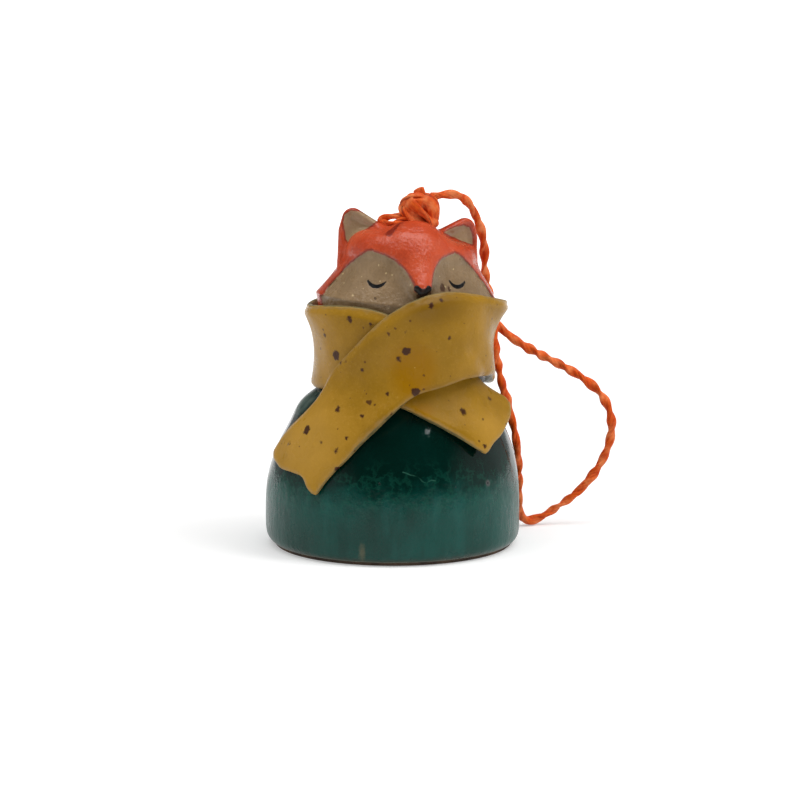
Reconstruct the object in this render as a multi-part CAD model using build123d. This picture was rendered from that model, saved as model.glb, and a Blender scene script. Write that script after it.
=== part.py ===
from build123d import *
import math
import os

# Ceramic fox bell with a cord through its crown. Millimetres, +Z up,
# the foot ring stands on z = 0 and the face looks along -Y.

# Hollow green body
belly_radius = 28.0
belly_height = 8.7
neck_height = 35.6
shoulder_radius = 15.8
hem_inset = 2.4
foot_height = 1.2
foot_inset = 0.7
body_wall = 3.6
body_lean = 1.4

# Hollow head, heights above the neck joint
head_tilt = 4.5
head_wall = 3.6
head_height = 34.0
neck_radius = 15.4
cheek_height = 18.5
cheek_radius = 19.6
cheek_front = 16.8
cheek_back = 17.0
brow_height = 27.5
brow_radius = 14.6
brow_front = 13.2
brow_back = 14.0
crown_radius = 7.4
crown_front = 4.8
crown_back = 5.4
crown_hole_radius = 2.0
crown_hole_offset = 1.4

# Muzzle and nose
nose_drop = 5.1
nose_half_width = 2.1
nose_half_height = 1.2
muzzle_reach = 18.8
chin_drop = 4.4
bridge_reach = 7.0
bridge_share = 0.88
bridge_half_width = 7.6
chin_half_width = 3.0
snout_rounding = 0.6

# Ears
ear_root = 5.8
ear_outer = 14.9
ear_tip_x = 12.4
ear_rise = 3.6
ear_foot_drop = 6.8
ear_thickness = 3.0
ear_toe_out = 20.0
ear_tip_rounding = 2.4
ear_rim = 1.2
ear_recess = 0.7

# Scarf: two strips of clay that meet at the nape and cross at the front
scarf_thickness = 2.6
scarf_gap = 0.3
scarf_top = 17.4
scarf_bottom = -0.3
collar_top_lift = -0.1
collar_mid_lift = 0.5
collar_hem_lift = 2.0
seam_gap = 0.2
strip_run = 5

# Cord
cord_diameter = 1.8
knot_radius = 4.2
knot_bite = 0.5
knot_slant = 35.0
tail_diameter = 1.3
stem_radius = 1.6

# Clapper inside the bell
stopper_radius = 2.9
stopper_drop = 1.0
swing_gap = 0.6
bead_radius = 6.0
bead_hole_clearance = 0.35
bead_flat = 0.3
end_knot_radius = 1.9
end_knot_height = 5.4


# The dome is part of an ellipse that passes the shoulder where the head sits
dome_rise = (neck_height - belly_height) / math.sqrt(1 - (shoulder_radius / belly_radius) ** 2)

# The face hangs from the brow
nose_height = brow_height - nose_drop
muzzle_bottom = nose_height - chin_drop
bridge_top = brow_height + bridge_share * (head_height - brow_height)


def dome_radius(z):
    """Outer radius of the body at height z."""
    if z < belly_height:
        share = (belly_height - z) / (belly_height - foot_height)
        return belly_radius - hem_inset * share ** 5
    return belly_radius * math.sqrt(1 - ((z - belly_height) / dome_rise) ** 2)


def dome_shift(z):
    """Sideways lean of the body at height z."""
    share = max(0.0, (z - belly_height) / (neck_height - belly_height))
    return body_lean * share ** 2


def swell(up, neck, cheek, brow, crown):
    """Reach of the head from its axis at a height above the neck."""
    if up <= cheek_height:
        return neck + (cheek - neck) * (up / cheek_height) ** 1.6
    if up <= brow_height:
        share = (brow_height - up) / (brow_height - cheek_height)
        return brow + (cheek - brow) * share ** 1.2
    rise = (up - brow_height) / (head_height - brow_height)
    return crown + (brow - crown) * math.sqrt(max(0.0, 1 - rise ** 2))


def side_reach(up):
    return swell(up, neck_radius, cheek_radius, brow_radius, crown_radius)


def front_reach(up):
    return swell(up, neck_radius, cheek_front, brow_front, crown_front)


def back_reach(up):
    return swell(up, neck_radius, cheek_back, brow_back, crown_back)


def head_level(up):
    """Place of one level of the head, which leans over from the neck up."""
    lean = head_tilt * min(1.0, up / cheek_height)
    return Pos(body_lean, 0, neck_height) * Rot(0, lean, 0) * Pos(0, 0, up)


head_place = Pos(body_lean, 0, neck_height) * Rot(0, head_tilt, 0)


# Body: lofted dome over a turned hem and a set-back foot ring, hollow and open below
dome_levels = [belly_height + (neck_height - belly_height) * s for s in (0, 0.25, 0.5, 0.7, 0.86, 1)]
dome = loft([Pos(dome_shift(z), 0, z) * Circle(dome_radius(z)) for z in dome_levels])
hem_levels = [belly_height - (belly_height - foot_height) * s for s in (0, 0.35, 0.65, 0.85, 1)]
with BuildPart() as turned_hem:
    with BuildSketch(Plane.XZ):
        with BuildLine():
            Spline([(dome_radius(z), z) for z in hem_levels])
            Line((dome_radius(foot_height), foot_height), (0, foot_height))
            Polyline((0, foot_height), (0, belly_height), (belly_radius, belly_height))
        make_face()
    revolve(axis=Axis.Z)
hollow_levels = [foot_height] + dome_levels
hollow = loft([Pos(dome_shift(z), 0, z) * Circle(dome_radius(z) - body_wall) for z in hollow_levels])
foot_radius = dome_radius(foot_height) - foot_inset
mouth_radius = dome_radius(foot_height) - body_wall
from_floor = (Align.CENTER, Align.CENTER, Align.MIN)
foot = Cylinder(foot_radius, foot_height, align=from_floor)
mouth = Cylinder(mouth_radius, foot_height, align=from_floor)
bell_body = dome + turned_hem.part + foot - hollow - mouth


# Head: lofted sections, each a half ellipse to the face and one to the back
def head_section(up):
    side = side_reach(up)
    with BuildSketch() as level:
        with BuildLine():
            EllipticalCenterArc((0, 0), side, back_reach(up), 0, arc_size=180)
            EllipticalCenterArc((0, 0), side, front_reach(up), 180, arc_size=180)
        make_face()
    return head_level(up) * level.sketch


cheek_levels = [cheek_height * s for s in (0, 0.3, 0.6, 0.85, 1)]
face_levels = [cheek_height + (brow_height - cheek_height) * s for s in (0, 0.33, 0.66, 1)]
crown_levels = [brow_height + (head_height - brow_height) * s for s in (0, 0.4, 0.7, 0.9, 1)]
cheeks = loft([head_section(up) for up in cheek_levels])
face = loft([head_section(up) for up in face_levels])
crown = loft([head_section(up) for up in crown_levels])
head_block = cheeks + face + crown

# Muzzle: a wedge with flat sides, wide inside the brow and narrow at the nose
def wedge_end(reach, top, bottom, half_top, half_bottom):
    corners = [(-half_top, top), (half_top, top), (half_bottom, bottom), (-half_bottom, bottom)]
    return Plane.XZ.offset(reach) * Polygon(*corners, align=None)


bridge = wedge_end(bridge_reach, bridge_top, muzzle_bottom, bridge_half_width, chin_half_width)
snout_top = nose_height + nose_half_height
snout_bottom = nose_height - 1.5 * nose_half_height
snout = wedge_end(muzzle_reach, snout_top, snout_bottom, nose_half_width, 0.8 * nose_half_width)
muzzle = loft([bridge, snout], ruled=True)
muzzle = fillet(muzzle.faces().sort_by(Axis.Y)[0].edges(), snout_rounding)
head_outside = head_block + head_place * muzzle

# Hollow of the head, turned about its own axis and open to the neck
ceiling = head_height - head_wall
room_levels = [0, cheek_height / 2, cheek_height, (cheek_height + brow_height) / 2, brow_height, ceiling]
room_outline = [(front_reach(up) - head_wall, up) for up in room_levels]
neck_cut = -neck_radius * math.sin(math.radians(head_tilt)) - 1
with BuildPart() as head_room:
    with BuildSketch(Plane.XZ):
        with BuildLine():
            Spline(room_outline)
            Polyline(room_outline[-1], (0, ceiling), (0, neck_cut))
            Polyline((0, neck_cut), (room_outline[0][0], neck_cut), room_outline[0])
        make_face()
    revolve(axis=Axis.Z)
crown_hole = Pos(crown_hole_offset, 0, ceiling) * Cylinder(crown_hole_radius, 3 * head_wall)
head = head_outside - head_place * head_room.part - head_place * crown_hole

# Nose: a pill of clay pressed on the snout
pill_end = nose_half_width - nose_half_height
pill = Rot(0, 90, 0) * Cylinder(nose_half_height, 2 * pill_end)
for side in (-1, 1):
    pill += Pos(side * pill_end, 0, 0) * Sphere(nose_half_height)
nose = head_place * Pos(0, -muzzle_reach, nose_height) * pill - head


# Ears: flat slabs with a pressed hollow, cut to sit on the head
def make_ear(side):
    tip = head_height + ear_rise
    outline = Polygon(
        (ear_root, head_height - 0.2),
        (ear_tip_x, tip),
        (ear_outer, head_height + 0.6),
        (ear_outer - 0.5, head_height - ear_foot_drop),
        (ear_root, head_height - ear_foot_drop),
        align=None,
    )
    corners = outline.vertices().sort_by(Axis.Y)
    outline = fillet(corners[-1], ear_tip_rounding)
    shoulder = outline.vertices().sort_by(Axis.X)[-1]
    outline = fillet(shoulder, 1.5 * ear_tip_rounding)
    dish = offset(outline, -ear_rim)
    slab = extrude(Plane.XZ * outline, ear_thickness / 2, both=True)
    slab -= Pos(0, -ear_thickness / 2 + ear_recess, 0) * extrude(Plane.XZ * dish, ear_thickness)
    hinge_line = (ear_root + ear_outer) / 2
    ear = Pos(hinge_line, 0, 0) * Rot(0, 0, ear_toe_out) * Pos(-hinge_line, 0, 0) * slab
    if side < 0:
        ear = mirror(ear, about=Plane.YZ)
    return head_place * ear - head_outside


ear_left = make_ear(1)
ear_right = make_ear(-1)


# Scarf strips, draped over the head and the dome
def core_axis(z):
    up = z - neck_height
    if up < 0:
        return dome_shift(z)
    return body_lean + up * math.sin(math.radians(head_tilt) * min(1.0, up / cheek_height))


def core_reach(bearing, z):
    """Radius of the clay under the scarf at a bearing from the face."""
    if z < neck_height:
        return dome_radius(z)
    up = min(z - neck_height, cheek_height)
    depth = front_reach(up) if math.cos(bearing) > 0 else back_reach(up)
    side = side_reach(up)
    return side * depth / math.hypot(depth * math.sin(bearing), side * math.cos(bearing))


def drape(degrees, up, lift):
    """A point on the inner face of a strip."""
    bearing = math.radians(degrees)
    z = neck_height + up
    reach = core_reach(bearing, z) + lift
    return Vector(core_axis(z) + reach * math.sin(bearing), -reach * math.cos(bearing), z)


def strip_section(top, bottom, mid_lift):
    upper = drape(*top)
    lower = drape(*bottom)
    middle = drape((top[0] + bottom[0]) / 2, (top[1] + bottom[1]) / 2, mid_lift)
    across = (upper - lower).normalized()
    centre = (upper + lower) * 0.5
    out = Vector(centre.X - core_axis(centre.Z), centre.Y, 0)
    out = (out - across * out.dot(across)).normalized()
    crest = centre + out * (middle - centre).dot(out)
    rise = out * scarf_thickness
    bulge = across * (scarf_thickness / 2)
    edges = [
        Spline(lower, crest, upper),
        ThreePointArc(upper, upper + rise * 0.5 + bulge, upper + rise),
        Spline(upper + rise, crest + rise, lower + rise),
        ThreePointArc(lower + rise, lower + rise * 0.5 - bulge, lower),
    ]
    return Face(Wire(edges))


def make_strip(stations):
    """Short lofts between the stations, joined end to end."""
    faces = [strip_section(*station) for station in stations]
    strip = None
    for first in range(0, len(faces) - 1, strip_run):
        run = loft(faces[first:first + strip_run + 1])
        strip = run if strip is None else strip + run
    return strip


seam_angle = math.degrees(seam_gap / 2 / cheek_back)
over_lift = collar_mid_lift + scarf_thickness + scarf_gap
chin_line = nose_height - nose_half_height
collar_over = [
    ((turn, scarf_top, collar_top_lift), (turn, scarf_bottom, collar_hem_lift), collar_mid_lift)
    for turn in (180 - seam_angle, 152, 124, 96)
]
front_over = [
    ((66, 18.4, 0.6), (78, 1.2, 2.4), 1.0),
    ((34, chin_line - 0.2, 1.4), (60, 2.1, over_lift + 0.2), 2.4),
    ((9, chin_line, 2.4), (32, 2.4, over_lift + 0.4), over_lift),
    ((-10, chin_line - 1.9, over_lift), (12, 1.6, over_lift + 0.8), over_lift + 0.2),
    ((-25, 15.3, over_lift), (-2, -0.4, over_lift + 1.1), over_lift + 0.4),
    ((-42, 8.0, over_lift), (-13, -3.2, over_lift + 1.0), over_lift + 0.5),
    ((-60, 1.8, over_lift + 0.2), (-23, -7.8, 2.0), 2.9),
    ((-71, -4.7, 1.4), (-32, -12.9, 0.4), 0.8),
    ((-76, -10.0, 0.2), (-39, -18.3, 0.2), 0.3),
    ((-76, -12.6, 0.2), (-44, -19.8, 0.2), 0.3),
]

collar_under = [
    ((-turn, scarf_top, collar_top_lift), (-turn, scarf_bottom, collar_hem_lift), collar_mid_lift)
    for turn in (180 - seam_angle, 152, 124, 96)
]
front_under = [
    ((-66, 18.4, 0.5), (-70, 0.2, 1.4), 0.6),
    ((-36, 18.2, 0.5), (-47, 0.0, 0.6), 0.6),
    ((-17, 16.5, 0.5), (-30, -0.8, 0.6), 0.6),
    ((3, 12.9, 0.5), (-14, -2.4, 0.6), 0.6),
    ((22, 8.6, 0.5), (-1, -4.6, 0.6), 0.6),
    ((40, 4.4, 0.5), (11, -6.8, 0.6), 0.6),
    ((55, 1.0, 0.6), (21, -9.4, 0.6), 0.6),
    ((63, -2.2, 2.4), (29, -11.6, 0.7), 1.0),
    ((63, -4.2, 3.2), (36, -11.8, 1.0), 1.6),
]
scarf_under = make_strip(collar_under + front_under) - head_outside - bell_body
scarf_over = make_strip(collar_over + front_over) - head_outside - bell_body - scarf_under - nose


# Knots: turns of cord pulled tight over each other
def knot_strand(size):
    return 0.34 * size


def knot_half_height(size):
    return 2.6 * knot_strand(size)


def tied_knot(size):
    strand = knot_strand(size)
    with BuildPart() as knot:
        with BuildSketch(Plane.XZ):
            Rectangle(size - strand, 3.2 * strand, align=(Align.MIN, Align.CENTER))
            with Locations((size - strand, 0)):
                Circle(strand)
            with Locations((size - 1.5 * strand, 1.6 * strand), (size - 1.5 * strand, -1.6 * strand)):
                Circle(strand)
        revolve(axis=Axis.Z)
    return knot.part


knot_seat = head_place * Pos(crown_hole_offset, 0, head_height)
knot_centre = (knot_seat * Pos(0, 0, knot_radius - knot_bite)).position
stem_bottom = ceiling - stopper_drop + swing_gap
stem_length = head_height + knot_radius - stem_bottom
stem_place = head_place * Pos(crown_hole_offset, 0, stem_bottom)
stem = stem_place * Cylinder(stem_radius, stem_length, align=from_floor)
knot_body = Pos(knot_centre) * Rot(0, knot_slant, 0) * tied_knot(knot_radius)
top_knot = knot_body + stem - head


def route_radii(points):
    """Bend radius at each inner point: both arcs fit in the shorter run."""
    radii = []
    for before, at, after in zip(points, points[1:], points[2:]):
        run = min((at - before).length, (after - at).length)
        turn = math.radians((at - before).get_angle(after - at))
        radii.append(0.45 * run / math.tan(turn / 2))
    return radii


def cord_tube(points, diameter, name):
    radii = route_radii(points)
    route = FilletPolyline(*points, radius=radii)
    start = Plane(origin=route @ 0, z_dir=route % 0)
    tube = sweep(start * Circle(diameter / 2), path=route)
    ideal = math.pi * diameter ** 2 / 4 * route.length
    print(name, "length", round(route.length, 1), "volume ratio", round(tube.volume / ideal, 3))
    print(name, "bend radii", [round(radius, 1) for radius in radii])
    return tube


# Hanging loop: out of the knot, down beside the bell to the floor, round and back up
cord_radius = cord_diameter / 2
leaving = [(2.4, -0.1, 2.9), (6.6, 0.1, 4.0), (11.1, 1.4, 2.4), (14.5, 4.3, -2.8), (16.7, 7.5, -8.8)]
beside_bell = [
    (-5.2, 10.3, 58.6),
    (-3.5, 12.0, 52.6),
    (-2.6, 12.3, 46.6),
    (-2.4, 11.2, 40.8),
    (-1.7, 8.6, 34.0),
    (-0.3, 5.3, 27.0),
    (1.3, 3.4, 20.0),
    (2.3, 3.9, 12.6),
    (2.8, 6.0, 7.0),
    (3.1, 9.2, 3.1),
    (4.4, 11.0, cord_radius),
    (7.9, 11.5, 1.5),
    (12.0, 11.4, 4.0),
    (16.6, 11.0, 7.2),
    (20.6, 10.7, 11.8),
    (23.5, 10.7, 17.0),
    (24.6, 10.6, 22.8),
    (23.1, 10.8, 28.3),
    (19.1, 11.4, 32.7),
    (13.1, 12.6, 36.4),
    (7.0, 13.6, 39.4),
    (1.6, 14.6, 42.7),
    (-2.4, 16.4, 46.6),
    (-7.2, 18.6, 51.4),
]
returning = [(10.6, 18.4, -15.2), (6.0, 15.4, -8.2), (3.2, 9.2, -1.8), (1.6, 3.0, 1.4)]
loop_points = [knot_centre + Vector(step) for step in leaving]
loop_points += [Vector(belly_radius + x, y, z) for x, y, z in beside_bell]
loop_points += [knot_centre + Vector(step) for step in returning]
hanging_loop = cord_tube(loop_points, cord_diameter, "hanging_loop") - top_knot

# Cord tail: a small flattened bight that lies over the crown
tail_steps = [
    (-2.6, -0.4, 0.4),
    (-6.4, -0.5, -0.5),
    (-8.2, -1.1, -1.2),
    (-7.2, -2.0, -1.7),
    (-2.6, -2.0, -1.0),
]
tail_points = [knot_centre + Vector(step) for step in tail_steps]
cord_tail = cord_tube(tail_points, tail_diameter, "cord_tail") - top_knot - head

# Clapper: a ceramic bead on a cord that hangs from a knot under the crown
pivot_height = ceiling - stopper_drop - knot_half_height(stopper_radius)
pivot = (head_place * Pos(crown_hole_offset, 0, pivot_height)).position
stopper_knot = Pos(pivot) * tied_knot(stopper_radius)
end_knot_centre = Vector(pivot.X, pivot.Y, end_knot_height)
clapper_knot = Pos(end_knot_centre) * tied_knot(end_knot_radius)
cord_top = pivot.Z - knot_half_height(stopper_radius) - swing_gap
cord_length = cord_top - end_knot_height
clapper_cord = Pos(end_knot_centre) * Cylinder(cord_radius, cord_length, align=from_floor) - clapper_knot
bead_height = end_knot_height + end_knot_radius + bead_radius - bead_flat
bead_bore = cord_radius + bead_hole_clearance
bead_block = Sphere(bead_radius) & Box(3 * bead_radius, 3 * bead_radius, 2 * (bead_radius - bead_flat))
clapper_bead = Pos(pivot.X, pivot.Y, bead_height) * (bead_block - Cylinder(bead_bore, 3 * bead_radius))

nodes = {
    "bell_body": bell_body,
    "head": head,
    "ear_left": ear_left,
    "ear_right": ear_right,
    "nose": nose,
    "scarf_over": scarf_over,
    "scarf_under": scarf_under,
    "top_knot": top_knot,
    "cord_tail": cord_tail,
    "hanging_loop": hanging_loop,
    "stopper_knot": stopper_knot,
    "clapper_cord": clapper_cord,
    "clapper_bead": clapper_bead,
    "clapper_knot": clapper_knot,
}

print("swing pivot", [round(value, 3) for value in pivot])
os.makedirs("parts", exist_ok=True)
for name, shape in nodes.items():
    export_step(shape, f"parts/{name}.step")
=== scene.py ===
import math

import bpy
import numpy as np
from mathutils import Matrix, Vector


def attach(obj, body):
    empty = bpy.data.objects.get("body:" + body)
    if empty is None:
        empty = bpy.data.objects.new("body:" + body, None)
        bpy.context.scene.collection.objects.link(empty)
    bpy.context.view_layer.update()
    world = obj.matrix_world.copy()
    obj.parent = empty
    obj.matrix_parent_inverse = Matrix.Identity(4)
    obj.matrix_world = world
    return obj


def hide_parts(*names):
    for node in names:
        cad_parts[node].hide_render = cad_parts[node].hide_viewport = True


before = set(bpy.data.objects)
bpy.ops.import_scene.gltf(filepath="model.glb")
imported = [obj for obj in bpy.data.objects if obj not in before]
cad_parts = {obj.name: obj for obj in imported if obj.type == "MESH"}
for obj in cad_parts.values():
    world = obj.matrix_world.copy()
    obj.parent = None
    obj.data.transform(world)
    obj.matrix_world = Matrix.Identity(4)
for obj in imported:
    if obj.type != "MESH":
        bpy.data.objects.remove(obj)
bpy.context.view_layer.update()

MM = 0.001
full_turn = 2 * math.pi

# Sizes of the object in millimetres, as in the CAD source
belly_radius = 28.0
belly_height = 8.7
neck_height = 35.6
shoulder_radius = 15.8
hem_inset = 1.3
hem_height = 0.8
foot_height = 1.2
foot_inset = 0.5
body_wall = 3.6
body_lean = 1.4
dome_rise = (neck_height - belly_height) / math.sqrt(1 - (shoulder_radius / belly_radius) ** 2)
head_tilt = math.radians(4.5)
head_wall = 3.6
head_height = 34.0
neck_radius = 15.4
cheek_height = 18.5
brow_height = 27.5
crown_hole_radius = 2.0
crown_hole_offset = 1.4
nose_height = 22.4
muzzle_reach = 18.8
scarf_thickness = 2.6
knot_radius = 4.2
knot_bite = 0.5

# Reach of the head at its cheeks, brow and crown
cheek_side = 19.6
puffed_cheek_side = 20.1
head_side = (14.6, 7.4)
head_front = (16.8, 13.2, 4.8)
head_back = (17.0, 14.0, 5.4)

# Sizes of hand-made relief, which the CAD source leaves out
glaze_relief = 0.42
shoulder_bulge = 1.6
patch_middle = 8.7
patch_level = 21.1
cord_width, cord_depth, cord_twist = 2.05, 1.5, 9.0

# Camera
camera_bearing, camera_rise, camera_distance = -10, 9, 0.6
aim = Vector((1.5, 0, 31.5)) * MM


def stand(name, data, target, bearing, rise, distance):
    """A camera or lamp that looks at a target, its bearing counted from the front towards +X."""
    a, e = math.radians(bearing), math.radians(rise)
    way = Vector((math.sin(a) * math.cos(e), -math.cos(a) * math.cos(e), math.sin(e)))
    thing = bpy.data.objects.new(name, data)
    thing.location = target + way * distance
    thing.rotation_mode = "QUATERNION"
    thing.rotation_quaternion = (-way).to_track_quat("-Z", "Y")
    bpy.context.collection.objects.link(thing)
    return thing


camera = stand("camera", bpy.data.cameras.new("camera"), aim, camera_bearing, camera_rise, camera_distance)
camera.data.lens = 122.7
bpy.context.scene.camera = camera
bpy.context.scene.view_settings.view_transform = "Standard"


# Curves
def distances(points):
    return np.r_[0, np.cumsum(np.linalg.norm(np.diff(points, axis=0), axis=1))]


def evenly(curve, count):
    """Points at even distances along a line of points."""
    run = distances(curve)
    at = np.linspace(0, run[-1], count)
    return np.stack([np.interp(at, run, column) for column in curve.T], -1)


def spline(at, values, where):
    """Natural cubic curve through values at given places."""
    n = len(at)
    gap = np.diff(at)
    system = np.eye(n)
    target = np.zeros_like(values)
    for i in range(1, n - 1):
        system[i, i - 1:i + 2] = gap[i - 1], 2 * (gap[i - 1] + gap[i]), gap[i]
        target[i] = 6 * ((values[i + 1] - values[i]) / gap[i] - (values[i] - values[i - 1]) / gap[i - 1])
    bend = np.linalg.solve(system, target)
    i = np.clip(np.searchsorted(at, where, side="right") - 1, 0, n - 2)
    h = gap[i][:, None]
    b = (where - at[i])[:, None] / h
    a = 1 - b
    curved = (a ** 3 - a) * bend[i] + (b ** 3 - b) * bend[i + 1]
    return a * values[i] + b * values[i + 1] + curved * h * h / 6


def along_curve(steps, count):
    """Even points on a smooth curve through the steps."""
    steps = np.asarray(steps, float)
    at = distances(steps)
    return evenly(spline(at, steps, np.linspace(0, at[-1], 12 * count)), count)


def through(a, b, c, t):
    """Places on the parabola that passes three places, for t from 0 to 1."""
    return a * (1 - t) * (1 - 2 * t) + 4 * b * t * (1 - t) + c * t * (2 * t - 1)


def unit(v):
    return v / np.linalg.norm(v, axis=-1)[..., None]


def square_to(v, axis):
    """Unit vectors along the part of v that is square to an axis."""
    return unit(v - axis * (v * axis).sum(-1)[..., None])


# Building of materials
def linear(red, green, blue):
    """Linear colour from the usual 0 to 255 values."""
    values = [c / 255 for c in (red, green, blue)]
    return tuple(c / 12.92 if c < 0.04045 else ((c + 0.055) / 1.055) ** 2.4 for c in values) + (1.0,)


class Nodes:
    """A node tree built by calls: an input is a value, a node's output or the name of a mesh field."""

    def __init__(self, tree):
        self.tree = tree

    def put(self, socket, value):
        if isinstance(value, str):
            value = self.add("Attribute", attribute_name=value).outputs["Fac"]
        if isinstance(value, bpy.types.NodeSocket):
            self.tree.links.new(value, socket)
        else:
            socket.default_value = value

    def add(self, kind, inputs=None, **settings):
        made = self.tree.nodes.new("ShaderNode" + kind)
        for key, value in settings.items():
            setattr(made, key, value)
        for key, value in (inputs or {}).items():
            self.put(made.inputs[key], value)
        return made

    def maths(self, operation, a, b=0.0, c=0.0):
        return self.add("Math", {0: a, 1: b, 2: c}, operation=operation).outputs[0]

    def times(self, a, b):
        return self.maths("MULTIPLY", a, b)

    def plus(self, a, share, b):
        """The first value and a share of the second."""
        return self.maths("MULTIPLY_ADD", b, share, a)

    def away(self, value, middle):
        return self.maths("ABSOLUTE", self.maths("SUBTRACT", value, middle))

    def vector(self, operation, a, b=(0, 0, 0), c=(0, 0, 0)):
        return self.add("VectorMath", {0: a, 1: b, 2: c}, operation=operation).outputs

    def ramp(self, value, low, high, to_low=0.0, to_high=1.0, shape="SMOOTHSTEP"):
        inputs = dict(enumerate((value, low, high, to_low, to_high)))
        return self.add("MapRange", inputs, interpolation_type=shape).outputs[0]


class Look(Nodes):
    """A material with the piece's own coordinates in millimetres and a tone painted in coats."""

    def __init__(self, name):
        self.name = name
        self.material = bpy.data.materials.new(name)
        self.material.use_nodes = True
        super().__init__(self.material.node_tree)
        self.shader = self.tree.nodes["Principled BSDF"]
        self.tone = None
        place = self.add("TexCoord").outputs["Object"]
        self.place = self.vector("MULTIPLY", place, (1 / MM,) * 3)[0]

    def set(self, **inputs):
        for key, value in inputs.items():
            self.put(self.shader.inputs[key.replace("_", " ")], value)

    def stretch(self, x, y, z):
        return self.vector("MULTIPLY", self.place, (x, y, z))[0]

    def noise(self, size, detail=2.0, rough=0.5, place=None):
        inputs = {"Vector": place or self.place, "Scale": 1 / size, "Detail": detail, "Roughness": rough}
        return self.add("TexNoise", inputs).outputs[0]

    def frayed(self, value, size, amount, detail=3, rough=0.5):
        """A value with noise on it."""
        return self.plus(value, amount, self.noise(size, detail, rough))

    def near(self, spots):
        """Distance in millimetres to the nearest of some places."""
        nearest = None
        for spot in spots:
            gap = self.vector("DISTANCE", self.place, spot)["Value"]
            nearest = gap if nearest is None else self.maths("MINIMUM", nearest, gap)
        return nearest

    def specks(self, pitch, share, size, seed=0.0):
        """Round specks in some of the cells of a pattern."""
        wobble = self.add("TexNoise", {"Vector": self.place, "Scale": 3.2 / pitch, "Detail": 3.0})
        bend = self.vector("MULTIPLY_ADD", wobble.outputs[1], (pitch * 0.35,) * 3, self.place)[0]
        moved = self.vector("ADD", bend, (seed, seed, seed))[0]
        cells = self.add("TexVoronoi", {"Vector": moved, "Scale": 1 / pitch})
        parts = self.add("SeparateColor", {0: cells.outputs["Color"]})
        radius = self.ramp(parts.outputs[0], 1 - share, 1.0, 0.0, size / pitch)
        edge = self.maths("SUBTRACT", radius, cells.outputs["Distance"])
        return self.ramp(edge, 0.0, 0.06)

    def mix(self, share, a, b):
        """A mix of two colours, each an output or three values from 0 to 255."""
        a, b = (linear(*colour) if isinstance(colour, tuple) else colour for colour in (a, b))
        return self.add("Mix", {0: share, 6: a, 7: b}, data_type="RGBA").outputs[2]

    def paint(self, value, colour, *ramp, strength=1.0):
        """One more coat over the tone, as thick as a value or a ramp of it says."""
        share = self.ramp(value, *ramp) if ramp else self.times(value, strength)
        self.tone = self.mix(share, self.tone, colour)

    def surface(self, roughness, shine, relief, depth):
        """The tone as the colour, its shine, and a relief whose full range is depth millimetres."""
        normal = self.add("Bump", {"Strength": 1.0, "Distance": depth * MM, "Height": relief}).outputs[0]
        self.set(Base_Color=self.tone, Roughness=roughness, Specular_IOR_Level=shine, Normal=normal)


# Deep green glaze of the body: darker above a ragged line, partly thick glaze and partly painted shade under
# the scarf, thin and brown at the hem
green = Look("green_glaze")
height = green.add("SeparateXYZ", {0: green.place}).outputs[2]
runs = green.noise(5, 3, 0.5, green.stretch(1, 1, 0.22))
green.tone = green.mix(green.ramp(green.noise(16, 4, 0.55), 0.3, 0.72), (0, 61, 52), (2, 78, 69))
green.paint(runs, (24, 90, 82), 0.5, 0.72, 0, 0.6)
green.paint(runs, (0, 48, 40), 0.28, 0.46, 0.5, 0)
# Darker above a ragged line: partly thicker glaze, partly painted shade under the scarf
thick_glaze_and_shade = green.ramp(green.frayed(height, 4.5, 9, 5, 0.62), 16.5, 24)
green.paint(thick_glaze_and_shade, (0, 19, 12), strength=0.85)
# Thin pale veins in the middle band: painted glint lines
glint_vein = green.ramp(green.away(green.noise(5, 5, 0.65), 0.5), 0, 0.05, 1, 0)
glint_vein_zone = green.ramp(green.away(height, 16), 2, 8, 0.2, 0)
green.paint(green.times(glint_vein, glint_vein_zone), (34, 104, 84))
green.paint(green.frayed(height, 2.2, 1.6), (70, 66, 54), 1.4, 2.8, 0.5, 0)
green.paint(height, (128, 132, 116), 0.85, 1.1, 0.6, 0)
green.paint(green.frayed("streak", 1.2, 0.6), (120, 112, 84), 0.6, 1.2, 0, 0.5)
# Pale cloudy patch on the left shoulder: painted sheen, a reflection painted into the colour
green.paint(green.frayed("shoulder_bulge_and_sheen", 2.6, 0.9, 4), (112, 130, 122), 0.65, 1.4, 0, 0.65)
pits = green.specks(3.4, 0.5, 0.36)
green.paint(pits, (20, 22, 20), strength=0.75)
green.paint(green.specks(9.5, 0.22, 0.9, 31), (66, 44, 40), strength=0.8)
# A thin wavy scratch in the glaze, painted pale as the highlight that runs along it
scratch_glint_line = np.array([
    (-2.4, -26, 20.2), (-1.7, -26.2, 20), (-0.9, -26.3, 19.65), (-0.2, -26.4, 19.5), (0.5, -26.5, 19.3),
    (1.1, -26.6, 18.85), (1.6, -26.7, 18.25), (2.1, -26.8, 17.95), (2.6, -26.8, 17.95), (3.1, -26.6, 18.2),
    (3.6, -26.5, 18.4), (4.4, -26.4, 18.25),
])
scratch_glint = green.frayed(green.near(evenly(scratch_glint_line, 28).tolist()), 1.4, 0.16)
green.paint(scratch_glint, (76, 136, 114), 0.17, 0.32, 0.4, 0)
pinhole = green.near([(16.9, -21.4, 16.4)])
green.paint(pinhole, (104, 92, 96), 0.4, 0.95, 0.55, 0)
green.paint(pinhole, (16, 16, 20), 0.16, 0.34, 0.9, 0)
thick_glaze_smooths = green.plus(1, -0.72, thick_glaze_and_shade)
satin = green.times(green.ramp(green.noise(7, 3), 0.3, 0.75, 0.25, 0.37), thick_glaze_smooths)
relief = green.frayed(green.noise(4.5, 4, 0.6, green.stretch(1.1, 1.1, 0.5)), 1.1, 0.35, 4, 0.6)
relief = green.plus(green.times(relief, thick_glaze_smooths), -0.5, pits)
green.surface(satin, 0.27, relief, 0.24)

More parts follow.
